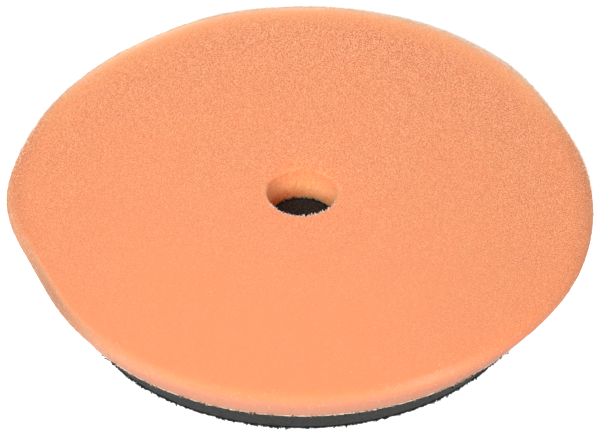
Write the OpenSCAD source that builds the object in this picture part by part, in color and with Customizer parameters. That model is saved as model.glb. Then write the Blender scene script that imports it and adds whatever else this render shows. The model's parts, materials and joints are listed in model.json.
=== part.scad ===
// Round foam polishing pad with a hook-and-loop back.
// Two foam discs and a loop fabric are bonded face to face and cut to one tapered side.
// The origin is the centre of the loop back, and +Z points out of the working face.

/* [Outline] */
// Diameter of the pad over its rounded shoulder
face_d = 165; // [120:1:200]
// Lean of the cut side from upright, in degrees
side_lean = 31; // [0:0.5:35]
// Radius of the rounded shoulder between the face and the side
shoulder_r = 2.6; // [0.5:0.1:5]

/* [Working foam] */
// Thickness of the orange working foam
working_t = 12; // [10:0.1:25]
// Diameter of the centre hole
hole_d = 20; // [10:0.5:30]
// Radius of the soft rim at the mouth of the centre hole
hole_rim_r = 1.2; // [0.2:0.1:2]

/* [Interface foam] */
// Thickness of the dark foam behind the working foam
interface_t = 9.5; // [3:0.1:14]

/* [Bond films] */
// Thickness of the glue between the two foams
foam_bond_t = 0.3; // [0.1:0.05:0.5]
// Thickness of the hot-melt film over the loop fabric
backing_bond_t = 0.2; // [0.1:0.05:0.5]

/* [Loop fabric] */
// Thickness of the knitted ground
ground_t = 0.6; // [0.3:0.1:1.2]
// Height of the pile loops
pile_t = 1.6; // [1:0.1:3]

/* [Hidden] */
turned_fn = 180;
// Height of each layer's lower face, counted from the loop back
ground_z = pile_t;
backing_bond_z = ground_z + ground_t;
interface_z = backing_bond_z + backing_bond_t;
foam_bond_z = interface_z + interface_t;
working_z = foam_bond_z + foam_bond_t;
face_z = working_z + working_t;
// Centre of the shoulder's arc, which touches the face and runs on into the cut side
shoulder_x = face_d / 2 - shoulder_r;
shoulder_z = face_z - shoulder_r;
side_start_x = shoulder_x + shoulder_r * cos(side_lean);
side_start_z = shoulder_z - shoulder_r * sin(side_lean);
hole_r = hole_d / 2;

// Radius of the straight cut side at a height
function side_r(z) = side_start_x - (side_start_z - z) * tan(side_lean);

// One full layer of the laminate, cut to the tapered side
module layer(low_z, high_z) {
    translate([0, 0, low_z])
        cylinder(h = high_z - low_z, r1 = side_r(low_z), r2 = side_r(high_z), $fn = turned_fn);
}

// Half section of the working foam: rounded at the shoulder and at the hole's mouth
module working_section() {
    polygon([
        [hole_r, working_z],
        [side_r(working_z), working_z],
        [side_start_x, side_start_z],
        [shoulder_x, shoulder_z],
        [shoulder_x, face_z],
        [hole_r + hole_rim_r, face_z],
        [hole_r + hole_rim_r, face_z - hole_rim_r],
        [hole_r, face_z - hole_rim_r]
    ]);
    translate([shoulder_x, shoulder_z])
        circle(r = shoulder_r, $fn = 96);
    translate([hole_r + hole_rim_r, face_z - hole_rim_r])
        circle(r = hole_rim_r, $fn = 48);
}

// Open-cell foam disc that meets the paint
module working_foam() {
    color("sandybrown")
        rotate_extrude($fn = turned_fn)
            working_section();
}

// Glue between the foams, cut out with the centre hole
module foam_bond_film() {
    color("wheat")
        difference() {
            layer(foam_bond_z, working_z);
            translate([0, 0, foam_bond_z - 1])
                cylinder(h = foam_bond_t + 2, r = hole_r, $fn = turned_fn);
        }
}

// Fine-celled foam disc that spreads the backing plate's pressure and floors the hole
module interface_foam() {
    color("dimgray")
        layer(interface_z, foam_bond_z);
}

// Hot-melt film between the interface foam and the loop fabric
module backing_bond_film() {
    color("darkslategray")
        layer(backing_bond_z, interface_z);
}

// Knitted ground that anchors the pile
module loop_ground() {
    color("black")
        layer(ground_z, backing_bond_z);
}

// Pile loops that the backing plate's hooks grip
module loop_pile() {
    color("black")
        layer(0, ground_z);
}

working_foam();
foam_bond_film();
interface_foam();
backing_bond_film();
loop_ground();
loop_pile();
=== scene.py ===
import json
import math

import bpy
import numpy as np
from mathutils import Matrix, Vector, noise


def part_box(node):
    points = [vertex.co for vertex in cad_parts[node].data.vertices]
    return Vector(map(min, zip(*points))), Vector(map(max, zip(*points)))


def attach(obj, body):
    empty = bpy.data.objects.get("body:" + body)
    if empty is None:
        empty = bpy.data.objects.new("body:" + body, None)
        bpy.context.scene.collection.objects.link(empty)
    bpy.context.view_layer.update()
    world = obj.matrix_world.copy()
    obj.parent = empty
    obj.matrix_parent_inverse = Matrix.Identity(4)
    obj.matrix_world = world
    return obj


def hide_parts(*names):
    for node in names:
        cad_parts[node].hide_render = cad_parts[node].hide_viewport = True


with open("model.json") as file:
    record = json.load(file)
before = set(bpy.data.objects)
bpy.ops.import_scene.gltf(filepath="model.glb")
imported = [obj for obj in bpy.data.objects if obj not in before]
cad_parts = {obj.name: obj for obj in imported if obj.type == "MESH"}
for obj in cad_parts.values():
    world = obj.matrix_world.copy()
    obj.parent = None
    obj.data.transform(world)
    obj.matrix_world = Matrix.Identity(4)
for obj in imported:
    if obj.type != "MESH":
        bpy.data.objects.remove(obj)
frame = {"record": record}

# The looks of a foam polishing pad: two bonded foam discs and a loop fabric, cut to one tapered side.
# Metres throughout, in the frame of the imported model. MM turns a size in millimetres into metres.

MM = 0.001
FULL_TURN = 2 * math.pi

# Every height and radius below is read from the frame
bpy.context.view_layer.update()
FOAM_LOW, FOAM_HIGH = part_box("working_foam")
GLUE_LOW, GLUE_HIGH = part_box("foam_bond_film")
DARK_LOW, DARK_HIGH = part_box("interface_foam")
FILM_LOW, FILM_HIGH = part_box("backing_bond_film")
KNIT_LOW, KNIT_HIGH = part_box("loop_ground")
PILE_LOW, PILE_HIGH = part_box("loop_pile")
MOUNTS = {mount["name"]: mount for mount in frame["record"]["mounts"]}
HOLE_R = MOUNTS["centre_hole"]["dims"]["r_mm"] * MM
FACE_R = FOAM_HIGH.x
FACE_Z = FOAM_HIGH.z

# The cut side is one straight line from the shoulder to the loop back
SIDE_SLOPE = (DARK_HIGH.x - PILE_HIGH.x) / (DARK_HIGH.z - PILE_HIGH.z)
SIDE_LEAN = math.atan(SIDE_SLOPE)


def side_r(z):
    """Radius of the straight cut side at a height."""
    return DARK_HIGH.x + SIDE_SLOPE * (z - DARK_HIGH.z)


# The shoulder's arc touches the face and the cut side, which settles its radius
SHOULDER_R = (side_r(FACE_Z) - FACE_R) / (1 / math.cos(SIDE_LEAN) - 1 + SIDE_SLOPE)
HOLE_RIM_R = 1.2 * MM

# Where the hand-trimmed edge swells or dips: direction from +X and spread in degrees, depth in mm.
# Not chosen by eye alone: a least-squares fit to the photo's outline helped to settle these rows.
TRIM_WANDER = (
    (203, 14, -2.15),
    (182, 12.5, 1.65),
    (140, 16, -1.0),
    (122, 12, -1.0),
    (95, 9, -0.4),
    (60, 13, 0.7),
    (43, 6, 0.4),
    (24, 11, -1.2),
    (-22, 18, 0.7),
)

# The loop back sits a little off centre, and the blade cut it closer in two directions, in degrees
OFF_CENTRE = 0.2 * MM
OFF_CENTRE_WAY = 215
CLOSER_CUT = 0.6 * MM
CLOSER_CUT_WAYS = (324, 216)
CLOSER_CUT_SPREAD = 13

# Points round each lathe-turned layer, and how deep a strand's ends are rooted
SPOKES = 720
ROOT_DEPTH = 0.03 * MM


def toward(angle, direction, spread):
    """1 in one direction, fading to 0 on both sides of it. Direction and spread are in degrees."""
    gap = (angle - math.radians(direction) + math.pi) % FULL_TURN - math.pi
    return np.exp(-((gap / math.radians(spread)) ** 2))


def trim(angle):
    """How far the cut edge stands off its true circle, for an array of angles."""
    return sum(depth * MM * toward(angle, way, spread) for way, spread, depth in TRIM_WANDER)


def smooth(low, high, value):
    """0 below low, 1 above high, and an S curve between."""
    t = np.clip((value - low) / (high - low), 0, 1)
    return t * t * (3 - 2 * t)


def lumps(points, pitch, seed):
    """Smooth noise from about -1 to 1 at each point, with features of about pitch."""
    away = Vector((17.3 * seed, 5.1 * seed, 9.7 * seed))
    return np.array([noise.noise(Vector(p) / pitch + away) for p in points])


def pits(points, pitch, seed):
    """0 at the middle of a foam cell, rising to about 1 at its walls."""
    away = Vector((3.7 * seed, 11.9 * seed, 7.3 * seed))
    return np.array([noise.voronoi(Vector(p) / pitch + away)[0][0] for p in points])


# ---------------------------------------------------------------- outlines and meshes


def line(start, end, step):
    """Points from start up to, but not at, end, no further apart than step."""
    (r0, z0), (r1, z1) = start, end
    count = max(1, math.ceil(math.hypot(r1 - r0, z1 - z0) / step))
    return [(r0 + (r1 - r0) * i / count, z0 + (z1 - z0) * i / count) for i in range(count)]


def arc(centre, radius, start, end, step):
    """Points of an arc from start up to, but not at, end, both in degrees."""
    count = max(1, math.ceil(abs(math.radians(end - start)) * radius / step))
    turns = [math.radians(start + (end - start) * i / count) for i in range(count)]
    return [(centre[0] + radius * math.cos(a), centre[1] + radius * math.sin(a)) for a in turns]


def new_mesh(name, points, faces):
    """A smooth-shaded mesh object made of an array of points and a list of faces."""
    mesh = bpy.data.meshes.new(name)
    mesh.from_pydata(np.asarray(points).tolist(), [], faces)
    mesh.validate()
    mesh.polygons.foreach_set("use_smooth", [True] * len(mesh.polygons))
    piece = bpy.data.objects.new(name, mesh)
    bpy.context.scene.collection.objects.link(piece)
    return piece


def lathe(name, outline, spokes, shape):
    """Closed solid turned about Z. The outline runs anticlockwise in (r, z).

    It is a loop round a hole, or starts and ends on the axis. shape(r, z, angle) returns the
    moved r and z, so that the solid isn't perfectly round.
    """
    outline = np.array(outline)
    capped = outline[0, 0] == 0
    rings = outline[1:-1] if capped else outline
    angle = np.arange(spokes) * FULL_TURN / spokes
    r, turn = np.meshgrid(rings[:, 0], angle, indexing="ij")
    z = np.meshgrid(rings[:, 1], angle, indexing="ij")[0]
    r, z = shape(r.ravel(), z.ravel(), turn.ravel())
    turn = turn.ravel()
    points = np.stack([r * np.cos(turn), r * np.sin(turn), z], 1)
    count = len(rings)
    faces = []
    for i in range(count - 1 if capped else count):
        here, there = i * spokes, (i + 1) % count * spokes
        for j in range(spokes):
            k = (j + 1) % spokes
            faces.append((here + j, here + k, there + k, there + j))
    if capped:
        low, high = len(points), len(points) + 1
        last = (count - 1) * spokes
        low_z, high_z = z[:spokes].mean(), z[last:].mean()
        points = np.vstack([points, [(0, 0, low_z), (0, 0, high_z)]])
        for j in range(spokes):
            k = (j + 1) % spokes
            faces.append((low, k, j))
            faces.append((high, last + j, last + k))
    return new_mesh(name, points, faces)


def tubes(name, lines, radius, across):
    """One mesh of thin three-sided strands that come to a point at both ends.

    lines is an array (strands, points, 3), radius one number per strand, and across a direction per
    strand that its line never runs along.
    """
    sides = 3
    strands, length = lines.shape[:2]
    along = np.gradient(lines, axis=1)
    along /= np.linalg.norm(along, axis=2, keepdims=True) + 1e-12
    first = np.cross(along, across[:, None, :])
    first /= np.linalg.norm(first, axis=2, keepdims=True) + 1e-12
    second = np.cross(along, first)
    rings = []
    for i in range(sides):
        a = FULL_TURN * i / sides
        off = first * math.cos(a) + second * math.sin(a)
        rings.append(lines + off * radius[:, None, None])
    middle = np.stack(rings, 2)[:, 1:-1]
    each = (length - 2) * sides + 2
    points = np.concatenate(
        [lines[:, :1], middle.reshape(strands, -1, 3), lines[:, -1:]], 1
    ).reshape(-1, 3)
    pattern = []
    for i in range(sides):
        j = (i + 1) % sides
        pattern.append((0, 1 + j, 1 + i, 1 + i))
        last = 1 + (length - 3) * sides
        pattern.append((last + i, last + j, each - 1, each - 1))
        for ring in range(length - 3):
            low = 1 + ring * sides
            pattern.append((low + i, low + j, low + sides + j, low + sides + i))
    pattern = np.array(pattern)
    faces = (pattern[None] + (np.arange(strands) * each)[:, None, None]).reshape(-1, 4)
    return new_mesh(name, points, [tuple(dict.fromkeys(f)) for f in faces.tolist()])


def scatter(piece, count, where, rng):
    """Random points on a mesh's faces and their normals. where(centres, normals) gives the chance."""
    mesh = piece.data
    total = len(mesh.polygons)
    centres, normals, areas = np.empty(total * 3), np.empty(total * 3), np.empty(total)
    mesh.polygons.foreach_get("center", centres)
    mesh.polygons.foreach_get("normal", normals)
    mesh.polygons.foreach_get("area", areas)
    centres, normals = centres.reshape(-1, 3), normals.reshape(-1, 3)
    chance = areas * where(centres, normals)
    chosen = rng.choice(total, count, p=chance / chance.sum())
    spread = np.sqrt(areas[chosen])[:, None] * 0.5
    shift = rng.uniform(-1, 1, (count, 3)) * spread
    shift -= normals[chosen] * (shift * normals[chosen]).sum(1, keepdims=True)
    return centres[chosen] + shift, normals[chosen]


def sideways(normals, rng):
    """A random unit direction in each point's own surface."""
    way = np.cross(normals, rng.normal(size=normals.shape))
    return way / np.linalg.norm(way, axis=1, keepdims=True)


def arches(name, roots, normals, width, height, radius, rng, points=6, tilt=0.35):
    """Strands that leave the surface and bend back to it, like the walls of cut foam cells."""
    way = sideways(normals, rng)
    other = np.cross(normals, way)
    t = np.linspace(0, 1, points)[None, :, None]
    lean = rng.normal(0, tilt, (len(roots), 1, 1)) * height[:, None, None]
    rise = np.sin(math.pi * t)
    lines = (
        roots[:, None, :]
        + way[:, None, :] * (t - 0.5) * width[:, None, None]
        + normals[:, None, :] * (rise * height[:, None, None] - ROOT_DEPTH)
        + other[:, None, :] * rise * lean
    )
    return tubes(name, lines, radius, other)


def hairs(name, roots, directions, length, radius, curl, rng, points=6):
    """Strands with one free end, each bending its own way."""
    way = sideways(directions, rng)
    other = np.cross(directions, way)
    t = np.linspace(0, 1, points)[None, :, None]
    bend = rng.normal(0, curl, (2, len(roots), 1, 1)) * length[None, :, None, None]
    lines = (
        roots[:, None, :]
        + directions[:, None, :] * t * length[:, None, None]
        + way[:, None, :] * bend[0] * t**2
        + other[:, None, :] * bend[1] * t**2 * (1.4 - t)
    )
    return tubes(name, lines, radius, other)


# ---------------------------------------------------------------- materials


class Finish:
    """A material whose nodes are added one call at a time."""

    def __init__(self, name, roughness, sheen=0.0, sheen_tint=(1, 1, 1), specular=0.5):
        self.material = bpy.data.materials.new(name)
        self.material.use_nodes = True
        self.tree = self.material.node_tree
        self.shader = self.tree.nodes["Principled BSDF"]
        self.shader.inputs["Roughness"].default_value = roughness
        self.shader.inputs["Sheen Weight"].default_value = sheen
        self.shader.inputs["Sheen Roughness"].default_value = 0.5
        self.shader.inputs["Sheen Tint"].default_value = (*sheen_tint, 1)
        self.shader.inputs["Specular IOR Level"].default_value = specular
        self.place = self.node("ShaderNodeTexCoord").outputs["Object"]

    def node(self, kind, inputs=None, **settings):
        """A new node. Its inputs are values or other nodes' sockets."""
        made = self.tree.nodes.new(kind)
        for name, value in settings.items():
            setattr(made, name, value)
        for name, value in (inputs or {}).items():
            if isinstance(value, bpy.types.NodeSocket):
                self.tree.links.new(value, made.inputs[name])
            else:
                made.inputs[name].default_value = value
        return made

    def noise(self, size, detail=2.0, roughness=0.5):
        """Noise from 0 to 1 with features of about size."""
        made = self.node(
            "ShaderNodeTexNoise",
            {"Vector": self.place, "Scale": 1 / size, "Detail": detail, "Roughness": roughness},
        )
        return made.outputs["Fac"]

    def cells(self, size):
        """Distance to the middles of cells of about size."""
        made = self.node("ShaderNodeTexVoronoi", {"Vector": self.place, "Scale": 1 / size})
        return made.outputs["Distance"]

    def maths(self, operation, a, b, clamp=False):
        """Two numbers put through one operation."""
        made = self.node("ShaderNodeMath", {0: a, 1: b}, operation=operation, use_clamp=clamp)
        return made.outputs[0]

    def remap(self, value, low, high, new_low=0.0, new_high=1.0):
        """The range from low to high stretched over the new one, clamped at its ends."""
        old = {"From Min": low, "From Max": high}
        new = {"To Min": new_low, "To Max": new_high}
        return self.node("ShaderNodeMapRange", {"Value": value, **old, **new}).outputs["Result"]

    def mix(self, share, a, b):
        """Colour a where share is 0, colour b where it is 1."""
        made = self.node("ShaderNodeMix", data_type="RGBA")
        sockets = {0: share, 6: a, 7: b}
        for i, value in sockets.items():
            if isinstance(value, bpy.types.NodeSocket):
                self.tree.links.new(value, made.inputs[i])
            elif i == 0:
                made.inputs[i].default_value = value
            else:
                made.inputs[i].default_value = (*value, 1)
        return made.outputs[2]

    def colour(self, socket):
        """Colours the surface."""
        self.tree.links.new(socket, self.shader.inputs["Base Color"])

    def bump(self, height, depth, strength):
        """Relief too fine for the mesh."""
        made = self.node("ShaderNodeBump", {"Height": height, "Distance": depth, "Strength": strength})
        self.tree.links.new(made.outputs["Normal"], self.shader.inputs["Normal"])

    def mark(self, name):
        """A number stored on the mesh's points."""
        return self.node("ShaderNodeAttribute", attribute_name=name).outputs["Fac"]

    def glow_through(self, weight, reach):
        """Light that enters and comes out again within reach, given per colour."""
        self.shader.subsurface_method = "RANDOM_WALK"
        self.shader.inputs["Subsurface Weight"].default_value = weight
        self.shader.inputs["Subsurface Radius"].default_value = [r / max(reach) for r in reach]
        self.shader.inputs["Subsurface Scale"].default_value = max(reach)

    def rough(self, socket):
        """Roughens the surface more in some spots than in others."""
        self.tree.links.new(socket, self.shader.inputs["Roughness"])


def orange_foam():
    """Open-cell polyurethane foam: pale cell walls, deeper orange down in the pores.

    The mesh carries seven marks: "open" is how open the cells of the face are, "painted_shade" is
    painted shade at the face's left and right rims and over its right half, "cut" is 1 where a blade
    cut the surface, pinker there and darker with painted shade on the undercut side, "side_shade" is
    painted shade on the undercut side, "wall" is 1 in the centre hole, lightened with painted light,
    "torn_and_backlit" is 1 on torn edges, paled partly by their thin cell walls and partly by painted
    light shining through them, and "hole_shade" is painted shade low in the hole.
    """
    made = Finish("orange_foam", 0.9, sheen=0.06, sheen_tint=(1.0, 0.8, 0.65), specular=0.2)
    pores = made.cells(0.38 * MM)
    grains = made.noise(0.22 * MM, detail=2.0, roughness=0.6)
    patches = made.noise(22 * MM, detail=3.0)
    depth = made.maths("ADD", made.maths("MULTIPLY", pores, 0.5), made.maths("MULTIPLY", grains, 0.7))
    share = made.remap(depth, 0.48, 0.66)
    coarse = made.mix(share, (0.44, 0.03, 0.0), (0.88, 0.41, 0.215))
    fine = made.mix(share, (0.785, 0.273, 0.118), (0.80, 0.288, 0.127))
    face = made.mix(made.mark("open"), fine, coarse)
    tone = made.remap(patches, 0.35, 0.65, 0.0, 0.2)
    face = made.mix(tone, face, (0.79, 0.268, 0.108))
    # Cut foam is pinker than the face, and darker too: painted shade on the undercut side.
    cut = made.mix(share, (0.70, 0.23, 0.13), (0.75, 0.28, 0.165))
    # Painted light: the hole's wall is lighter than the face, standing in for light that shines through
    # the foam into the hole.
    wall = made.mix(share, (0.95, 0.34, 0.13), (1.0, 0.46, 0.20))
    # Torn edges go pale: partly their thin cell walls, partly painted light shining through them from
    # behind.
    warm = made.mix(share, (0.86, 0.44, 0.14), (0.94, 0.52, 0.20))
    pale = made.mix(share, (0.88, 0.80, 0.72), (0.96, 0.88, 0.83))
    torn_and_backlit = made.mix(made.mark("torn_and_backlit"), warm, pale)
    # Painted shade on the undercut side: tan where it is light, brown where it is heavy.
    tan = made.mix(share, (0.44, 0.31, 0.21), (0.56, 0.39, 0.27))
    brown = made.mix(share, (0.26, 0.11, 0.065), (0.34, 0.15, 0.085))
    side_shade = made.mix(made.maths("POWER", made.mark("side_shade"), 2.0), tan, brown)
    # Painted shade low in the hole: a dark, saturated red.
    hole_shade = made.mix(share, (0.92, 0.12, 0.014), (1.0, 0.23, 0.042))
    # Painted shade: a browner, darker foam colour for the face's left and right rims and its right half,
    # where less light falls.
    painted_shade = made.mix(share, (0.46, 0.15, 0.06), (0.63, 0.245, 0.12))
    face = made.mix(made.mark("painted_shade"), face, painted_shade)
    base = made.mix(made.mark("cut"), face, cut)
    base = made.mix(made.mark("wall"), base, wall)
    base = made.mix(made.mark("side_shade"), base, side_shade)
    base = made.mix(made.maths("MULTIPLY", made.mark("torn_and_backlit"), 1.3, clamp=True), base, torn_and_backlit)
    made.colour(made.mix(made.mark("hole_shade"), base, hole_shade))
    made.bump(depth, 0.2 * MM, 0.5)
    made.rough(made.remap(grains, 0.3, 0.7, 0.82, 0.98))
    made.glow_through(0.85, (7.0 * MM, 4.0 * MM, 2.5 * MM))
    return made.material


def pale_foam():
    """The thin cell walls left standing where the foam was cut: light shows through them."""
    made = Finish("pale_foam", 0.85, sheen=0.1, sheen_tint=(1.0, 0.85, 0.7), specular=0.3)
    patches = made.noise(1.2 * MM, detail=2.0)
    share = made.remap(patches, 0.35, 0.65)
    made.colour(made.mix(share, (0.93, 0.47, 0.27), (0.95, 0.74, 0.56)))
    return made.material


def torn_foam():
    """Single torn cell walls, so thin that they are almost white against the light."""
    made = Finish("torn_foam", 0.85, sheen=0.1, specular=0.3)
    patches = made.noise(1.2 * MM, detail=2.0)
    share = made.remap(patches, 0.35, 0.65)
    made.colour(made.mix(share, (0.97, 0.84, 0.70), (0.98, 0.95, 0.90)))
    return made.material


def cured_glue():
    """Cured adhesive: off-white, a little yellow where it is thick."""
    made = Finish("cured_glue", 0.55, specular=0.4)
    patches = made.noise(1.8 * MM, detail=3.0)
    share = made.remap(patches, 0.35, 0.65)
    made.colour(made.mix(share, (0.88, 0.68, 0.52), (0.93, 0.84, 0.74)))
    made.bump(made.noise(0.4 * MM), 0.05 * MM, 0.5)
    return made.material


def melt_film():
    """The smoky hot-melt film that holds the loop fabric."""
    made = Finish("melt_film", 0.6, specular=0.2)
    patches = made.noise(1.5 * MM, detail=2.0)
    made.colour(made.mix(patches, (0.008, 0.008, 0.008), (0.020, 0.020, 0.020)))
    return made.material


def dark_foam():
    """Fine-celled charcoal foam with the faint drag marks of the cutting blade."""
    made = Finish("dark_foam", 0.85, sheen=0.02, specular=0.10)
    pores = made.cells(0.55 * MM)
    scuffs = made.noise(2.5 * MM, detail=4.0, roughness=0.6)
    share = made.remap(pores, 0.15, 0.65)
    side = made.mix(share, (0.0, 0.0, 0.0), (0.028, 0.028, 0.0265))
    top = made.mix(share, (0.006, 0.006, 0.0055), (0.042, 0.042, 0.039))
    worn = made.remap(scuffs, 0.48, 0.68, 0.0, 0.6)
    side = made.mix(worn, side, (0.050, 0.050, 0.0475))
    made.colour(made.mix(made.mark("cut"), top, side))
    made.bump(pores, 0.12 * MM, 0.5)
    made.rough(made.remap(scuffs, 0.3, 0.7, 0.78, 0.92))
    return made.material


def black_knit():
    """The knitted ground of the loop fabric, seen between the loops."""
    made = Finish("black_knit", 0.8, sheen=0.02, specular=0.15)
    threads = made.noise(0.35 * MM, detail=3.0)
    made.colour(made.mix(threads, (0.008, 0.008, 0.0075), (0.030, 0.030, 0.028)))
    made.bump(threads, 0.08 * MM, 0.6)
    return made.material


def black_nylon(name, dark, light):
    """Nylon yarn: nearly black, with a soft shine along each thread."""
    made = Finish(name, 0.6, specular=0.15)
    threads = made.noise(0.8 * MM, detail=2.0)
    made.colour(made.mix(threads, (dark, dark, dark), (light, light, light)))
    made.rough(made.remap(threads, 0.3, 0.7, 0.5, 0.7))
    return made.material


def studio_floor():
    """Pale matte table with the faintest mottling. It can't be seen from below."""
    made = Finish("studio_floor", 0.9, specular=0.2)
    patches = made.noise(0.4, detail=2.0)
    made.colour(made.mix(patches, (0.90, 0.90, 0.90), (0.93, 0.93, 0.93)))
    made.shader.inputs["Emission Color"].default_value = (1, 1, 1, 1)
    made.shader.inputs["Emission Strength"].default_value = 0.6
    below = made.node("ShaderNodeNewGeometry").outputs["Backfacing"]
    clear = made.node("ShaderNodeBsdfTransparent").outputs["BSDF"]
    table = made.shader.outputs["BSDF"]
    either = made.node("ShaderNodeMixShader", {0: below, 1: table, 2: clear})
    output = made.tree.nodes["Material Output"]
    made.tree.links.new(either.outputs[0], output.inputs["Surface"])
    return made.material


def add_mark(piece, name, values):
    """Stores one number per point on a mesh, for its material to read."""
    piece.data.attributes.new(name, "FLOAT", "POINT").data.foreach_set("value", values)


def finish_piece(piece, material, node):
    """Gives a new piece its material and body, and hides the CAD node that it stands for."""
    piece.data.materials.append(material)
    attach(piece, "root")
    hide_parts(node)
    return piece


# ---------------------------------------------------------------- camera and light


def make_camera():
    """A long lens a little over a metre from the middle of the face, looking down at it."""
    distance = 1.161
    elevation = math.radians(42.7)
    roll = math.radians(0.5)
    lens = 245.4
    aim_right, aim_up = -0.5 * MM, -7.5 * MM
    back = Vector((0, -math.cos(elevation), math.sin(elevation)))
    face_centre = Vector((0, 0, FACE_Z))
    place = face_centre + back * distance
    up = Vector((0, math.sin(elevation), math.cos(elevation)))
    aim = face_centre + Vector((aim_right, 0, 0)) + up * aim_up
    camera = bpy.data.objects.new("camera", bpy.data.cameras.new("camera"))
    bpy.context.scene.collection.objects.link(camera)
    camera.data.lens = lens
    camera.data.sensor_width = 36
    camera.data.clip_end = 20
    look = (aim - place).to_track_quat("-Z", "Y").to_matrix().to_4x4()
    camera.matrix_world = Matrix.Translation(place) @ look @ Matrix.Rotation(roll, 4, "Z")
    bpy.context.scene.camera = camera


def soft_box(name, place, power, size=0.9):
    """A square area light that faces the middle of the pad, in metres and watts."""
    lamp = bpy.data.objects.new(name, bpy.data.lights.new(name, "AREA"))
    bpy.context.scene.collection.objects.link(lamp)
    lamp.data.size = size
    lamp.data.energy = power
    lamp.location = place
    lamp.rotation_mode = "QUATERNION"
    lamp.rotation_quaternion = (-Vector(place)).to_track_quat("-Z", "Y")


def make_studio():
    """White surroundings, a soft key from the front left and a pale table lit a little from within."""
    world = bpy.data.worlds.new("studio")
    bpy.context.scene.world = world
    world.use_nodes = True
    background = world.node_tree.nodes["Background"]
    background.inputs["Color"].default_value = (1, 1, 1, 1)
    background.inputs["Strength"].default_value = 0.54
    soft_box("key", (-0.47, -1.74, 1.13), 48)
    soft_box("rim", (0.1, 1.85, 0.8), 20)
    soft_box("fill", (1.3, -1.3, 0.3), 5)
    # The table is a wide bowl: flat in the middle, swept up to a wall all round
    flat, sweep, wall_top, thickness, underside = 3.0, 1.5, 2.5, 0.2, -1.0
    outer = flat + sweep + thickness
    outline = [(0, underside), (outer, underside), (outer, wall_top), (flat + sweep, wall_top)]
    outline += arc((flat, sweep), sweep, 0, -90, 0.15) + [(flat, 0), (0, 0)]
    floor = lathe("floor", outline, 96, lambda r, z, angle: (r, z))
    # A hair lower than the pad's back, so that the two don't share a plane
    floor.location.z = -0.02 * MM
    floor.data.materials.append(studio_floor())
    # The undercut side would glare if the white table threw its light back up
    floor.visible_diffuse = False
    bpy.context.scene.view_settings.view_transform = "Standard"


# ---------------------------------------------------------------- the pad's layers


def trimmed(r, z, angle):
    """The shared outline's wander: none near the axis, all of it at the face's edge."""
    rise = (z - PILE_LOW.z) / (FACE_Z - PILE_LOW.z)
    off_centre = OFF_CENTRE * np.cos(angle - math.radians(OFF_CENTRE_WAY))
    closer_cut = CLOSER_CUT * sum(toward(angle, way, CLOSER_CUT_SPREAD) for way in CLOSER_CUT_WAYS)
    low = (off_centre - closer_cut) * (1 - rise)
    return r + (trim(angle) * (0.8 + 0.2 * rise) + low) * smooth(0.45 * FACE_R, FACE_R, r)


def foam_shape(r, z, angle):
    """Gentle unevenness of the face, and the rougher, pitted look of every cut edge."""
    points = np.stack([r * np.cos(angle), r * np.sin(angle), z], 1)
    new_r = trimmed(r, z, angle)
    under = z < FOAM_LOW.z + 0.01 * MM
    cut_side = smooth(side_r(z) - 1.0 * MM, side_r(z), r)
    cut_hole = 1 - smooth(HOLE_R, HOLE_R + 2.5 * MM, r)
    cut = np.maximum(cut_side, cut_hole)
    on_top = (z > FACE_Z - 0.2 * MM) & ~under
    wave = lumps(points, 9 * MM, 1) * 0.07 * MM + lumps(points, 2.6 * MM, 2) * 0.04 * MM
    far_lip = smooth(0.0, 0.8, np.sin(angle)) * np.exp(-(((r - HOLE_R) / (2.2 * MM)) ** 2))
    new_z = z + np.where(on_top, wave - 0.05 * MM, 0) - 0.5 * MM * far_lip * ~under
    ragged = lumps(points, 1.3 * MM, 3) * 0.10 * MM + (pits(points, 0.9 * MM, 1) - 0.45) * 0.22 * MM
    new_r = new_r + ragged * (cut + 0.8 * cut_hole)
    return new_r, new_z


def make_foam():
    """The working foam: hole wall, soft rim, face, rounded shoulder, cut side and back."""
    base, top = FOAM_LOW.z, FACE_Z
    rim = (HOLE_R + HOLE_RIM_R, top - HOLE_RIM_R)
    bend = (FACE_R - SHOULDER_R, top - SHOULDER_R)
    lean = math.degrees(SIDE_LEAN)
    side_top = (
        bend[0] + SHOULDER_R * math.cos(SIDE_LEAN),
        bend[1] - SHOULDER_R * math.sin(SIDE_LEAN),
    )
    outline = (
        line((side_r(base), base), side_top, 0.7 * MM)
        + arc(bend, SHOULDER_R, -lean, 90, 0.5 * MM)
        + line((bend[0], top), (rim[0], top), 0.95 * MM)
        + arc(rim, HOLE_RIM_R, 90, 180, 0.25 * MM)
        + line((HOLE_R, rim[1]), (HOLE_R, base), 0.45 * MM)
        + line((HOLE_R, base), (side_r(base), base), 12 * MM)
    )
    foam = lathe("foam_disc", outline, SPOKES, foam_shape)
    mark_foam(foam, outline)
    return foam


def hole_marks(r, z, angle):
    """In and round the centre hole: its wall, painted shade low in it, heaviest on the left wall, and
    the near side of its lip.
    """
    # The whole hole wall, which the material lightens with painted light.
    wall = smooth(FACE_Z + 1 * MM, FACE_Z - 8 * MM, z) * (r < HOLE_R + HOLE_RIM_R)
    low_wall = smooth(FACE_Z - 6 * MM, FOAM_LOW.z + 1 * MM, z) * (r < HOLE_R + 0.1 * MM)
    # Painted shade low in the hole, heaviest on the left wall, which faces away from the key.
    hole_shade = low_wall * (0.25 + 0.75 * smooth(0.3, -0.7, np.cos(angle)))
    lip = np.exp(-(((r - HOLE_R - 0.9 * MM) / (0.8 * MM)) ** 2)) * (z > FACE_Z - 0.6 * MM)
    return wall * np.ones_like(angle), hole_shade, lip * smooth(-0.2, -0.8, np.sin(angle))


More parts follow.
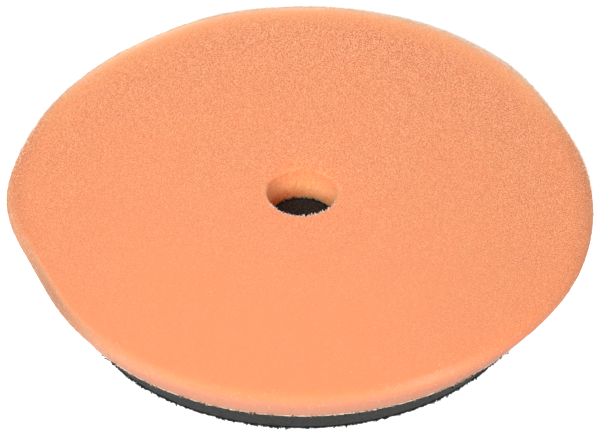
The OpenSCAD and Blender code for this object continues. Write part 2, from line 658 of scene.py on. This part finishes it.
def edge_marks(r, z, angle, far):
    """On the shoulder and the cut side: where the foam is cut, darker there with painted shade on the
    undercut side; where it is torn, paled partly with painted light shining through; and painted
    shade on the undercut side, most on the front left.

    One short stretch of the shoulder, the crest, gets a little of all three.
    """
    outer = r > 0.5 * FACE_R
    # Cut foam on the near half's shoulder and side; the material's cut colour also paints shade there.
    side = smooth(FACE_Z + 0.2 * MM, FACE_Z - 3.2 * MM, z) * outer
    torn_edge = np.exp(-np.maximum(FACE_R - r, 0) / (2.6 * MM))
    outermost = 0.3 * smooth(FACE_R - 1.4 * MM, FACE_R + 0.1 * MM, r)
    round_the_back = smooth(-0.6, 0.2, np.sin(angle)) * (1 - far)
    # Torn edges, mostly on the far half; the material pales them, partly with painted light shining
    # through.
    torn_and_backlit = (torn_edge * far + outermost * round_the_back) * outer
    torn_and_backlit = torn_and_backlit * smooth(FACE_Z - 1.5 * MM, FACE_Z - 0.6 * MM, z)
    # Painted shade on the undercut side, heaviest at the front left; the crest gets a little.
    band = 0.8 * smooth(FACE_R - 2.8 * MM, FACE_R - 0.6 * MM, r)
    band = band * smooth(FACE_Z - 6 * MM, FACE_Z - 2 * MM, z)
    crest = smooth(FACE_R - 2.6 * MM, FACE_R - 1.2 * MM, r) * toward(angle, 296, 9)
    crest = crest * (z > FACE_Z - 2 * MM)
    side_shade = np.maximum(band * toward(angle, 213, 23), 0.3 * crest) * outer
    return np.maximum(side * (1 - far), 0.8 * crest), torn_and_backlit + 0.1 * crest, side_shade


def face_marks(r, z, angle, far):
    """On the face: how open its cells are, most at the back, and painted shade at its left and right
    rims, over its right half and a little at its far left.
    """
    across, along = r * np.cos(angle) / MM, r * np.sin(angle) / MM
    rim = 0.15 * smooth(50 * MM, 72 * MM, r)
    slope = 0.0012 * across + 0.007 * np.minimum(along, 0) + 0.005 * np.maximum(along, 0)
    calm = 1 - 0.7 * smooth(FACE_R - 13 * MM, FACE_R - 3 * MM, r) * far
    opened = np.clip(0.43 + slope + rim, 0, 1) * calm * (z > FOAM_LOW.z)
    # Painted shade at the left and right rims, where the shoulder turns from the light, over the right
    # half of the face, which gets less light, and a little at the far left.
    both_ends = toward(angle, 5, 30) + 0.6 * toward(angle, 180, 25) + 0.2 * toward(angle, 325, 18)
    face_falloff_shade = 0.2 * smooth(0, 80, across) + 0.08 * smooth(-40, -82, across)
    painted_shade = np.maximum(smooth(FACE_R - 8 * MM, FACE_R - 0.5 * MM, r) * both_ends, face_falloff_shade)
    return opened, painted_shade * (z > FACE_Z - 2 * MM)


def mark_foam(foam, outline):
    """Stores the marks that the orange foam's material reads, worked out on the true circle."""
    r, z = np.array(outline).T[:, :, None]
    angle = (np.arange(SPOKES) * FULL_TURN / SPOKES)[None, :]
    far = smooth(0.1, 0.9, np.sin(angle))
    opened, painted_shade = face_marks(r, z, angle, far)
    cut, torn_and_backlit, side_shade = edge_marks(r, z, angle, far)
    wall, hole_shade, lip = hole_marks(r, z, angle)
    marks = {
        "open": opened,
        "painted_shade": painted_shade,
        "side_shade": side_shade,
        "cut": np.maximum(cut, lip * 0.8),
        "wall": wall,
        "torn_and_backlit": torn_and_backlit,
        "hole_shade": hole_shade,
    }
    for name, values in marks.items():
        add_mark(foam, name, np.broadcast_to(values, (len(outline), SPOKES)).ravel())


def layer_outline(low, high, step):
    """Outline of one full layer of the laminate, from the axis below to the axis above."""
    return (
        [(0, low)]
        + line((3 * MM, low), (side_r(low), low), 4 * MM)
        + line((side_r(low), low), (side_r(high), high), step)
        + line((side_r(high), high), (2 * MM, high), 1.5 * MM)
        + [(0, high)]
    )


def dark_shape(r, z, angle):
    """The interface foam's cut side, grainy and pitted."""
    points = np.stack([r * np.cos(angle), r * np.sin(angle), z], 1)
    cut = smooth(side_r(z) - 0.6 * MM, side_r(z), r)
    grain = lumps(points, 1.1 * MM, 5) * 0.08 * MM + (pits(points, 0.7 * MM, 4) - 0.45) * 0.16 * MM
    return trimmed(r, z, angle) + (grain - 0.04 * MM) * cut, z


def make_interface():
    """The dark foam under the working foam, closed under the centre hole."""
    outline = layer_outline(DARK_LOW.z, DARK_HIGH.z, 0.45 * MM)
    piece = lathe("interface_disc", outline, SPOKES, dark_shape)
    places = np.empty(len(piece.data.vertices) * 3)
    piece.data.vertices.foreach_get("co", places)
    x, y, z = places.reshape(-1, 3).T
    add_mark(piece, "cut", smooth(side_r(z) - 3 * MM, side_r(z) - 2 * MM, np.hypot(x, y)))
    return piece


def plain_shape(r, z, angle):
    """A thin layer with a clean edge."""
    return trimmed(r, z, angle), z


def glue_shape(r, z, angle):
    """Glue that has crept onto the cut side in a thin broken lip."""
    above = z > (GLUE_LOW.z + GLUE_HIGH.z) / 2
    # The lumps don't change with height, but the upper and the lower edge each have their own
    points = np.stack([r * np.cos(angle), r * np.sin(angle), np.where(above, 0.0, 7 * MM)], 1)
    edge = smooth(side_r(z) - 0.5 * MM, side_r(z), r)
    creep = lumps(points, 1.1 * MM, 8) * 0.5 + lumps(points, 0.4 * MM, 9) * 0.5 + 0.25
    creep = np.clip(creep, 0, 1)
    new_z = z + np.where(above, 0.55, -0.05) * MM * creep * edge
    bead = lumps(points, 0.8 * MM, 10) * 0.34 * MM
    new_r = trimmed(r, z, angle) + side_r(new_z) - side_r(z) + (bead + 0.12 * MM) * edge
    inner = r < HOLE_R + 0.1 * MM
    new_r = new_r + (0.15 - 0.45 * creep**2) * MM * inner
    return new_r, new_z + 0.4 * MM * creep**2 * inner * above


def make_glue():
    """The glue between the foams, a thin ring round the centre hole."""
    low, high = GLUE_LOW.z, GLUE_HIGH.z
    outline = (
        line((side_r(low), low), (side_r(high), high), 0.1 * MM)
        + line((side_r(high), high), (HOLE_R, high), 12 * MM)
        + line((HOLE_R, high), (HOLE_R, low), 0.15 * MM)
        + line((HOLE_R, low), (side_r(low), low), 12 * MM)
    )
    return lathe("glue_layer", outline, SPOKES, glue_shape)


make_camera()
make_studio()

orange = orange_foam()
pale = pale_foam()
charcoal = dark_foam()
nylon = black_nylon("black_nylon", 0.010, 0.032)
# A darker copy of the same nylon for the edge fringe and rim loops: painted shade where they hang down
# by the table.
nylon_in_shade = black_nylon("shaded_fringe_nylon", 0.002, 0.008)
knitted = black_knit()

foam = finish_piece(make_foam(), orange, "working_foam")
glue = finish_piece(make_glue(), cured_glue(), "foam_bond_film")
dark = finish_piece(make_interface(), charcoal, "interface_foam")
film = finish_piece(
    lathe("backing_film", layer_outline(FILM_LOW.z, FILM_HIGH.z, 0.2 * MM), SPOKES, plain_shape),
    melt_film(),
    "backing_bond_film",
)
knit = finish_piece(
    lathe("knit_ground", layer_outline(KNIT_LOW.z, KNIT_HIGH.z, 0.2 * MM), SPOKES, plain_shape),
    knitted,
    "loop_ground",
)
pile = finish_piece(
    lathe("pile_core", layer_outline(PILE_LOW.z + 0.8 * MM, PILE_HIGH.z, 0.4 * MM), SPOKES, plain_shape),
    knitted,
    "loop_pile",
)

# ---------------------------------------------------------------- cut cells of both foams

rng = np.random.default_rng(7)


def whereabouts(centres):
    """Each point's radius, height, and cosine and sine of its direction."""
    r = np.hypot(centres[:, 0], centres[:, 1])
    return r, centres[:, 2], centres[:, 0] / r, centres[:, 1] / r


def near_shoulder(centres, normals):
    """The shoulder and the top of the cut side, thickest at the back."""
    r, z, cosine, sine = whereabouts(centres)
    edge = smooth(FACE_R - 4 * MM, FACE_R - 2 * MM, r) * smooth(FACE_Z - 6 * MM, FACE_Z - 2 * MM, z)
    return edge * (0.04 + smooth(-0.3, 0.7, sine))


def far_rim(centres, normals):
    """The torn outermost ring of the face and shoulder on the far half."""
    r, z, cosine, sine = whereabouts(centres)
    edge = smooth(FACE_R - 2.5 * MM, FACE_R - 0.8 * MM, r) * (z > FACE_Z - 2.4 * MM)
    return edge * smooth(0.0, 0.8, sine)


def near_lower_edge(centres, normals):
    """The last millimetre of the cut side, just above the glue."""
    r, z, cosine, sine = whereabouts(centres)
    low = smooth(FOAM_LOW.z + 0.9 * MM, FOAM_LOW.z + 0.1 * MM, z)
    return (r > 60 * MM) * low * (normals[:, 2] > -0.8)


def near_hole(centres, normals):
    """The back of the hole's wall, thickest at the foot, and more thinly the whole lip."""
    r, z, cosine, sine = whereabouts(centres)
    lip = (1 - smooth(0.4 * MM, 1.4 * MM, np.hypot(r - HOLE_R, z - FACE_Z))) * 0.05
    foot = smooth(FACE_Z - 4 * MM, FOAM_LOW.z + 2 * MM, z) * (z > FOAM_LOW.z + 1 * MM)
    wall = (r < HOLE_R + 0.5 * MM) * foot * smooth(-0.3, 0.3, sine)
    return lip + wall * (0.3 + 0.7 * smooth(0.9, 0.2, abs(cosine)))


def near_lip(centres, normals):
    """The near side of the hole's lip."""
    r, z, cosine, sine = whereabouts(centres)
    gap = np.hypot(r - HOLE_R - 0.3 * MM, z - FACE_Z)
    return (1 - smooth(0.3 * MM, 0.9 * MM, gap)) * smooth(-0.3, -0.7, sine)


def on_face(centres, normals):
    """The face, thinning out towards the front, where the cells lie flat."""
    open_share = np.clip(0.5 + (0.2 * centres[:, 0] + centres[:, 1]) / (130 * MM), 0.06, 1)
    return (normals[:, 2] > 0.5) * open_share


def cut_cells(name, where, count, width, height, thickness, material):
    """Cut cell walls standing on the working foam in one region."""
    roots, normals = scatter(foam, count, where, rng)
    widths = rng.uniform(0.5, 1.3, count) * width
    heights = rng.lognormal(0, 0.45, count) * height
    radii = rng.uniform(0.7, 1.3, count) * thickness
    piece = arches(name, roots, normals, widths, np.minimum(heights, 2.5 * height), radii, rng, 5)
    return finish_piece(piece, material, "working_foam")


cut_cells("foam_face_cells", on_face, 10500, 0.45 * MM, 0.10 * MM, 0.035 * MM, pale)
cut_cells("foam_shoulder_cells", near_shoulder, 8000, 0.5 * MM, 0.30 * MM, 0.04 * MM, pale)
cut_cells("foam_edge_cells", near_lower_edge, 1600, 0.45 * MM, 0.25 * MM, 0.05 * MM, pale)
cut_cells("foam_hole_cells", near_hole, 320, 0.40 * MM, 0.22 * MM, 0.045 * MM, pale)
torn = torn_foam()
cut_cells("foam_rim_fuzz", far_rim, 8000, 0.5 * MM, 0.48 * MM, 0.032 * MM, torn)
cut_cells("foam_lip_fuzz", near_lip, 110, 0.4 * MM, 0.30 * MM, 0.06 * MM, torn)


def up_the_side(normals):
    """Unit directions up the cut side, for the normals of points on it."""
    out = normals * (1, 1, 0)
    out /= np.linalg.norm(out, axis=1, keepdims=True)
    return out * math.sin(SIDE_LEAN) + np.array((0, 0, math.cos(SIDE_LEAN)))


def dark_teeth(count):
    """Torn cells at the top of the interface foam, standing up over the glue line."""

    def top_edge(centres, normals):
        """The top half millimetre of the cut side, less where the blade cut closer."""
        high = smooth(DARK_HIGH.z - 0.7 * MM, DARK_HIGH.z - 0.3 * MM, centres[:, 2])
        angle = np.arctan2(centres[:, 1], centres[:, 0])
        neat = toward(angle, 216, 9) + toward(angle, 325, 10)
        return high * (abs(normals[:, 2]) < 0.8) * np.maximum(0.98 - neat, 0)

    roots, normals = scatter(dark, count, top_edge, rng)
    ways = normals * 0.45 + up_the_side(normals) * 1.5
    ways /= np.linalg.norm(ways, axis=1, keepdims=True)
    height = rng.uniform(0.4, 1.3, count) * MM
    width = rng.uniform(0.3, 0.8, count) * MM
    radius = rng.uniform(0.10, 0.18, count) * MM
    piece = arches("dark_teeth", roots, ways, width, height, radius, rng, 5)
    add_mark(piece, "cut", np.ones(len(piece.data.vertices)))
    return finish_piece(piece, charcoal, "interface_foam")


def hole_teeth(count):
    """Torn cells of the interface foam, standing up along the foot of the hole's wall."""
    angle = rng.uniform(0, FULL_TURN, count)
    r = HOLE_R - rng.uniform(0.0, 0.5, count) * MM
    roots = np.stack([r * np.cos(angle), r * np.sin(angle), np.full(count, DARK_HIGH.z)], 1)
    ways = rng.normal(0, 0.25, (count, 3)) + (0, 0, 1)
    ways /= np.linalg.norm(ways, axis=1, keepdims=True)
    height = np.minimum(rng.lognormal(0, 0.5, count), 2.5) * 0.45 * MM
    width = rng.uniform(0.2, 0.6, count) * MM
    radius = rng.uniform(0.06, 0.12, count) * MM
    piece = arches("hole_teeth", roots, ways, width, height, radius, rng, 5)
    add_mark(piece, "cut", np.ones(len(piece.data.vertices)))
    return finish_piece(piece, charcoal, "interface_foam")


dark_teeth(1000)
hole_teeth(420)

# ---------------------------------------------------------------- the loop fabric's pile


def pile_loops(name, low, high):
    """The rows of loops between two places along Y, standing down from the knitted ground."""
    pitch = 1.15 * MM
    reach = side_r(PILE_HIGH.z) - 0.15 * MM
    row_pitch = 0.9 * pitch
    half_columns, half_rows = math.ceil(reach / pitch), math.ceil(reach / row_pitch)
    columns = np.arange(-half_columns, half_columns + 1) * pitch
    rows = np.arange(-half_rows, half_rows + 1) * row_pitch
    x, y = (grid.ravel() for grid in np.meshgrid(columns, rows))
    x = x + rng.normal(0, 0.16 * MM, len(x)) + (np.round(y / row_pitch) % 2) * 0.5 * pitch
    y = y + rng.normal(0, 0.16 * MM, len(y))
    angle = np.arctan2(y, x)
    inside = np.hypot(x, y) < trimmed(reach, PILE_HIGH.z, angle)
    chosen = inside & (y >= low) & (y < high)
    x, y = x[chosen], y[chosen]
    count = len(x)
    roots = np.stack([x, y, np.full(count, PILE_HIGH.z)], 1)
    down = np.stack([rng.normal(0, 0.16, count), rng.normal(0, 0.16, count), -np.ones(count)], 1)
    down /= np.linalg.norm(down, axis=1, keepdims=True)
    height = (PILE_HIGH.z - PILE_LOW.z - 0.1 * MM) * rng.uniform(0.82, 1.0, count)
    width = rng.uniform(0.6, 1.1, count) * MM
    radius = np.full(count, 0.125 * MM)
    piece = arches(name, roots, down, width, height, radius, rng, 6, 0.15)
    return finish_piece(piece, nylon, "loop_pile")


def edge_fibres(name, angle, low, high, length, radius):
    """Cut fibre ends that stick out of the fabric's trimmed edge, one at each angle.

    They start at heights from low to high.
    """
    count = len(angle)
    z = rng.uniform(low, high, count)
    r = trimmed(side_r(z), z, angle) - 0.15 * MM
    roots = np.stack([r * np.cos(angle), r * np.sin(angle), z], 1)
    out = np.stack([np.cos(angle), np.sin(angle), np.full(count, -0.35)], 1)
    out += rng.normal(0, 0.45, (count, 3))
    out /= np.linalg.norm(out, axis=1, keepdims=True)
    lengths = rng.lognormal(0, 0.35, count) * length
    radii = rng.uniform(0.7, 1.3, count) * radius
    piece = hairs(name, roots, out, lengths, radii, 0.3, rng, 5)
    keep_above_floor(piece)
    return finish_piece(piece, nylon_in_shade, "loop_pile")


def keep_above_floor(piece):
    """Flattens whatever reaches below the loop back against it."""
    points = np.empty(len(piece.data.vertices) * 3)
    piece.data.vertices.foreach_get("co", points)
    points[2::3] = np.maximum(points[2::3], PILE_LOW.z)
    piece.data.vertices.foreach_set("co", points)


def rim_loops(count, radius):
    """Fatter loops pushed out along the fabric's trimmed edge."""
    angle = (np.arange(count) + rng.uniform(-0.4, 0.4, count)) * FULL_TURN / count
    r = trimmed(side_r(PILE_HIGH.z), PILE_HIGH.z, angle) - rng.uniform(0.1, 0.5, count) * MM
    roots = np.stack([r * np.cos(angle), r * np.sin(angle), np.full(count, PILE_HIGH.z)], 1)
    inward = SIDE_SLOPE * rng.uniform(0.1, 0.9, count)
    down = np.stack([-inward * np.cos(angle), -inward * np.sin(angle), -np.ones(count)], 1)
    down += rng.normal(0, 0.08, (count, 3))
    down /= np.linalg.norm(down, axis=1, keepdims=True)
    height = (PILE_HIGH.z - PILE_LOW.z) * rng.uniform(0.75, 1.12, count)
    width = rng.uniform(0.25, 0.55, count) * MM
    radii = np.full(count, radius)
    piece = arches("pile_rim_loops", roots, down, width, height, radii, rng, 6, 0.15)
    keep_above_floor(piece)
    return finish_piece(piece, nylon_in_shade, "loop_pile")


loops_left = pile_loops("pile_loops_left", -1, 0)
loops_right = pile_loops("pile_loops_right", 0, 1)
loops_rim = rim_loops(4200, 0.14 * MM)
edge_low = PILE_LOW.z + 0.1 * MM
everywhere = rng.uniform(0, FULL_TURN, 6000)
fibres = edge_fibres(
    "pile_edge_fibres", everywhere, edge_low, PILE_LOW.z + 0.9 * MM, 0.27 * MM, 0.09 * MM
)
stub_angles = rng.uniform(0, FULL_TURN, 2200)
stubs = edge_fibres(
    "pile_stubs", stub_angles, edge_low, PILE_LOW.z + 0.7 * MM, 0.36 * MM, 0.12 * MM
)
# Strays that the trimming missed, one small tuft among them
tuft = rng.normal(math.radians(231), 0.006, 40)
along_front = rng.uniform(math.radians(225), math.radians(310), 30)
stray_angles = np.concatenate([along_front, rng.normal(math.radians(238), 0.03, 12), tuft])
stray_low = PILE_LOW.z + 0.3 * MM
strays = edge_fibres("pile_strays", stray_angles, stray_low, PILE_HIGH.z, 0.9 * MM, 0.04 * MM)
